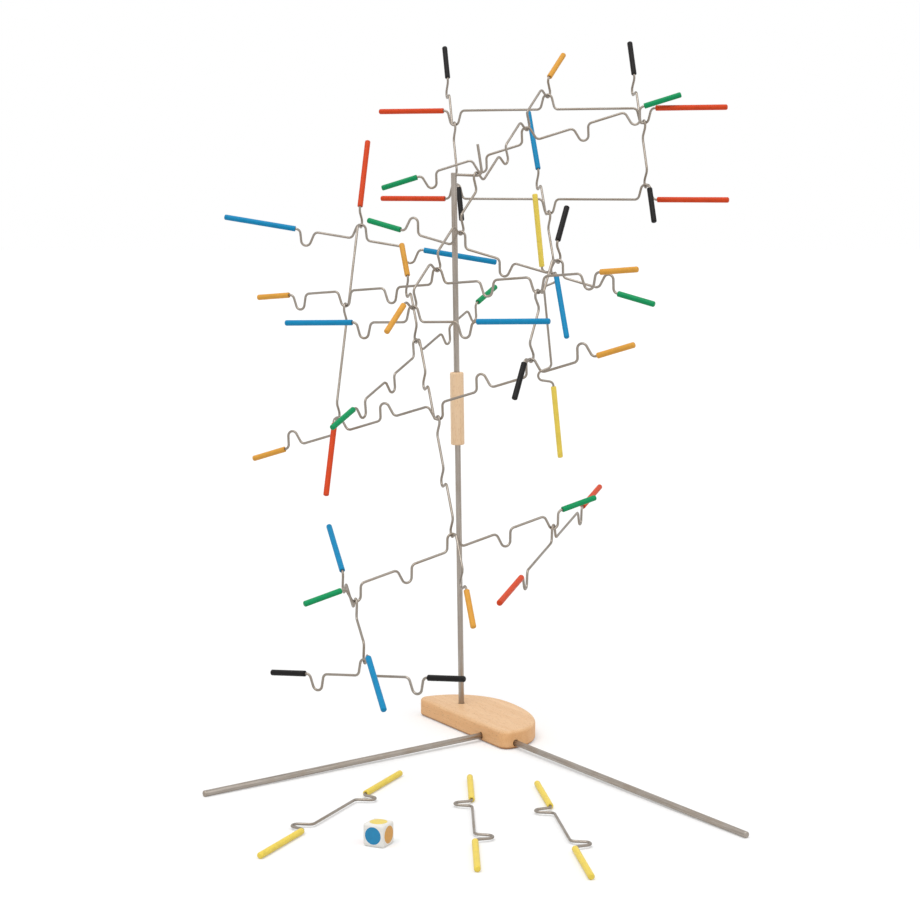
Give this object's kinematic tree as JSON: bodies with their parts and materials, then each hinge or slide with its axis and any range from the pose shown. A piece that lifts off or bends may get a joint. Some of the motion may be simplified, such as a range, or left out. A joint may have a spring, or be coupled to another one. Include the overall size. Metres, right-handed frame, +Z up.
{
  "type": "balance game",
  "caption": "Tabletop balance game: notched wires with coloured rubber tips hang from one another on a hooked pole with a wooden foot and spread legs, beside loose wires and a colour die.",
  "frame": {"origin": "on the table under the pole's foot, on the wooden base's underside", "axes": "+Z up, +X to the player's right, +Y away from the player"},
  "size_m": [0.4213, 0.6125, 0.567],
  "materials": {
    "beech": "satin",
    "white_paint": "painted, satin",
    "steel": "satin",
    "red_rubber": "matte",
    "blue_rubber": "matte",
    "yellow_rubber": "matte"
  },
  "bodies": {
    "base": {"base": "beech"},
    "leg_left": {"leg_left": "steel"},
    "leg_right": {"leg_right": "steel"},
    "lower_pole": {"lower_pole": "steel"},
    "joiner": {"joiner": "beech"},
    "upper_pole": {"upper_pole": "steel", "hook": "steel"},
    "orange_a": {"orange_wire_a": "steel"},
    "red_a": {"red_wire_a": "steel", "red_tip_a1": "red_rubber", "red_tip_a2": "red_rubber"},
    "black_a": {"black_wire_a": "steel"},
    "black_b": {"black_wire_b": "steel"},
    "red_b": {"red_wire_b": "steel", "red_tip_b1": "red_rubber", "red_tip_b2": "red_rubber"},
    "orange_b": {"orange_wire_b": "steel"},
    "black_c": {"black_wire_c": "steel"},
    "red_c": {"red_wire_c": "steel", "red_tip_c1": "red_rubber", "red_tip_c2": "red_rubber"},
    "green_b": {"green_wire_b": "steel"},
    "orange_c": {"orange_wire_c": "steel"},
    "green_a": {"green_wire_a": "steel"},
    "blue_c": {"blue_wire_c": "steel", "blue_tip_c1": "blue_rubber", "blue_tip_c2": "blue_rubber"},
    "yellow_a": {"yellow_wire_a": "steel", "yellow_tip_a1": "yellow_rubber", "yellow_tip_a2": "yellow_rubber"},
    "blue_a": {"blue_wire_a": "steel", "blue_tip_a1": "blue_rubber", "blue_tip_a2": "blue_rubber"},
    "blue_b": {"blue_wire_b": "steel", "blue_tip_b1": "blue_rubber", "blue_tip_b2": "blue_rubber"},
    "orange_d": {"orange_wire_d": "steel"},
    "green_c": {"green_wire_c": "steel"},
    "green_d": {"green_wire_d": "steel"},
    "blue_d": {"blue_wire_d": "steel", "blue_tip_d1": "blue_rubber", "blue_tip_d2": "blue_rubber"},
    "black_d": {"black_wire_d": "steel"},
    "red_d": {"red_wire_d": "steel", "red_tip_d1": "red_rubber", "red_tip_d2": "red_rubber"},
    "yellow_b": {"yellow_wire_b": "steel", "yellow_tip_b1": "yellow_rubber", "yellow_tip_b2": "yellow_rubber"},
    "yellow_c": {"yellow_wire_c": "steel", "yellow_tip_c1": "yellow_rubber", "yellow_tip_c2": "yellow_rubber"},
    "yellow_d": {"yellow_wire_d": "steel", "yellow_tip_d1": "yellow_rubber", "yellow_tip_d2": "yellow_rubber"},
    "die": {"die": "white_paint"}
  },
  "joints": [
    {"name": "leg_left_pull", "type": "slide", "parent": "base", "child": "leg_left", "axis": [-0.7826, -0.6225, -0.0087], "range_m": [0, 0.02]},
    {"name": "leg_right_pull", "type": "slide", "parent": "base", "child": "leg_right", "axis": [0.5343, -0.8452, -0.0087], "range_m": [0, 0.02]},
    {"name": "lower_pole_pull", "type": "slide", "parent": "base", "child": "lower_pole", "axis": [-0.014, 0, 0.9999], "range_m": [0, 0.008]},
    {"name": "joiner_pull", "type": "slide", "parent": "lower_pole", "child": "joiner", "axis": [-0.014, 0, 0.9999], "range_m": [0, 0.02]},
    {"name": "upper_pole_pull", "type": "slide", "parent": "joiner", "child": "upper_pole", "axis": [-0.014, 0, 0.9999], "range_m": [0, 0.02]},
    {"name": "orange_a_rock", "type": "hinge", "parent": "upper_pole", "child": "orange_a", "pos_m": [0.01212, 0, 0.45153], "axis": [-0.848, 0.5299, 0], "range_deg": [-3, 3]},
    {"name": "red_a_rock", "type": "hinge", "parent": "orange_a", "child": "red_a", "pos_m": [0.07325, 0.09783, 0.51749], "axis": [0.4067, 0.9135, 0], "range_deg": [-2, 3]},
    {"name": "black_a_rock", "type": "hinge", "parent": "red_a", "child": "black_a", "pos_m": [-0.00623, 0.13322, 0.49486], "axis": [-0.9848, -0.1736, 0], "range_deg": [-5, 5]},
    {"name": "black_b_rock", "type": "hinge", "parent": "red_a", "child": "black_b", "pos_m": [0.15273, 0.06245, 0.49486], "axis": [-0.9848, -0.1736, 0], "range_deg": [-5, 5]},
    {"name": "red_b_rock", "type": "hinge", "parent": "black_a", "child": "red_b", "pos_m": [-0.00482, 0.12522, 0.44759], "axis": [-0.9848, -0.1736, 0], "range_deg": [-5, 5]},
    {"name": "orange_b_rock", "type": "hinge", "parent": "orange_a", "child": "orange_b", "pos_m": [-0.01941, -0.05046, 0.37589], "axis": [0.515, 0.8572, 0], "range_deg": [-0.8, 0.8]},
    {"name": "black_c_rock", "type": "hinge", "parent": "orange_b", "child": "black_c", "pos_m": [0.05868, -0.09738, 0.3672], "axis": [0.515, 0.8572, 0], "range_deg": [-0.8, 0.8]},
    {"name": "red_c_rock", "type": "hinge", "parent": "orange_b", "child": "red_c", "pos_m": [-0.09502, -0.00502, 0.35151], "axis": [0.515, 0.8572, 0], "range_deg": [-0.8, 0.8]},
    {"name": "green_b_rock", "type": "hinge", "parent": "orange_a", "child": "green_b", "pos_m": [-0.00088, -0.0208, 0.40421], "axis": [0.477, 0.8789, 0], "range_deg": [-0.81, 0.81]},
    {"name": "orange_c_rock", "type": "hinge", "parent": "red_c", "child": "orange_c", "pos_m": [-0.10004, -0.03073, 0.2547], "axis": [0.4474, 0.8943, 0], "range_deg": [-0.78, 0.78]},
    {"name": "green_a_rock", "type": "hinge", "parent": "orange_a", "child": "green_a", "pos_m": [0.05472, 0.06817, 0.48917], "axis": [0.1564, 0.9877, 0], "range_deg": [-4, 1]},
    {"name": "blue_c_rock", "type": "hinge", "parent": "red_b", "child": "blue_c", "pos_m": [0.07466, 0.08983, 0.419], "axis": [-0.9781, -0.2079, 0], "range_deg": [-5, 5]},
    {"name": "yellow_a_rock", "type": "hinge", "parent": "blue_c", "child": "yellow_a", "pos_m": [0.07737, 0.07709, 0.36673], "axis": [0.2079, -0.9781, 0], "range_deg": [-6, 6]},
    {"name": "blue_a_rock", "type": "hinge", "parent": "red_c", "child": "blue_a", "pos_m": [-0.08439, 0.04945, 0.40834], "axis": [0.1564, 0.9877, 0], "range_deg": [-3, 2]},
    {"name": "blue_b_rock", "type": "hinge", "parent": "orange_a", "child": "blue_b", "pos_m": [-0.03794, -0.08011, 0.34757], "axis": [0.454, 0.891, 0], "range_deg": [-8, 8]},
    {"name": "orange_d_rock", "type": "hinge", "parent": "orange_c", "child": "orange_d", "pos_m": [-0.01879, -0.07137, 0.26008], "axis": [-0.9613, -0.2756, 0], "range_deg": [-3, 2]},
    {"name": "green_c_rock", "type": "hinge", "parent": "orange_d", "child": "green_c", "pos_m": [-0.03737, -0.00656, 0.31629], "axis": [-0.848, 0.5299, 0], "range_deg": [-6, 6]},
    {"name": "green_d_rock", "type": "hinge", "parent": "orange_d", "child": "green_d", "pos_m": [-0.00751, -0.1107, 0.17211], "axis": [-0.4695, 0.8829, 0], "range_deg": [-4, 4]},
    {"name": "blue_d_rock", "type": "hinge", "parent": "green_d", "child": "blue_d", "pos_m": [-0.08107, -0.14981, 0.12813], "axis": [-0.9703, -0.2419, 0], "range_deg": [-6, 6]},
    {"name": "black_d_rock", "type": "hinge", "parent": "blue_d", "child": "black_d", "pos_m": [-0.07305, -0.18199, 0.08806], "axis": [0.515, 0.8572, 0], "range_deg": [-10, 10]},
    {"name": "red_d_rock", "type": "hinge", "parent": "green_d", "child": "red_d", "pos_m": [0.07314, -0.06781, 0.17235], "axis": [-0.9563, 0.2924, 0], "range_deg": [-8, 8]},
    {"name": "yellow_b_lift", "type": "slide", "parent": "base", "child": "yellow_b", "axis": [0, 0, 1], "range_m": [0, 0.03]},
    {"name": "yellow_c_lift", "type": "slide", "parent": "base", "child": "yellow_c", "axis": [0, 0, 1], "range_m": [0, 0.03]},
    {"name": "yellow_d_lift", "type": "slide", "parent": "base", "child": "yellow_d", "axis": [0, 0, 1], "range_m": [0, 0.03]},
    {"name": "die_lift", "type": "slide", "parent": "base", "child": "die", "axis": [0, 0, 1], "range_m": [0, 0.03]}
  ],
  "couplings": [
    {"joint": "black_b_rock", "follows": "black_a_rock", "ratio": 1},
    {"joint": "red_b_rock", "follows": "black_a_rock", "ratio": -1},
    {"joint": "black_c_rock", "follows": "orange_b_rock", "ratio": -1},
    {"joint": "red_c_rock", "follows": "orange_b_rock", "ratio": -1},
    {"joint": "green_b_rock", "follows": "orange_b_rock", "ratio": 1.0065},
    {"joint": "orange_c_rock", "follows": "orange_b_rock", "ratio": 0.9767}
  ]
}
